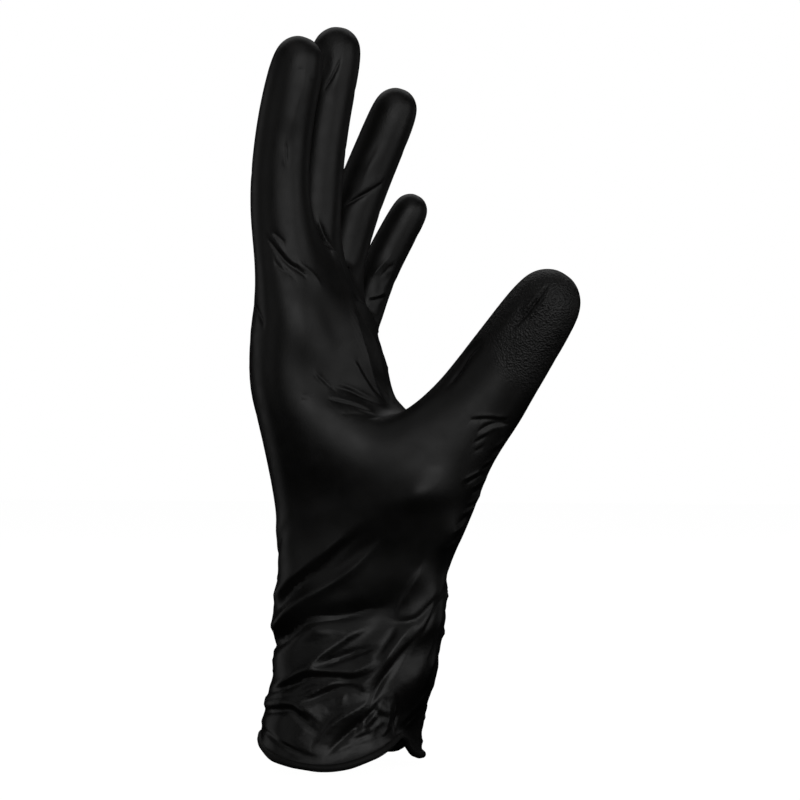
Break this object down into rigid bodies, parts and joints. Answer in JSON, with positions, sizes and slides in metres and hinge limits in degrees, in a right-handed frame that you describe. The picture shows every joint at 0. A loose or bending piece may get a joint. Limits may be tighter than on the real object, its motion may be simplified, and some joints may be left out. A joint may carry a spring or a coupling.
{
  "type": "examination glove",
  "caption": "Thin black nitrile examination glove held in the shape of a worn left hand, fingers up and thumb out, with a crumpled cuff and a rolled bead at its mouth.",
  "frame": {"origin": "middle of the cuff's mouth, at the mean height of its wavy rim, where the wrist goes in", "axes": "+Z from the cuff to the fingertips, +X the way the palm faces, -X the back of the hand, -Y the thumb side"},
  "size_m": [0.1069, 0.0825, 0.237],
  "materials": {
    "film": "satin"
  },
  "bodies": {
    "root": {"glove_film": "film"}
  },
  "joints": []
}
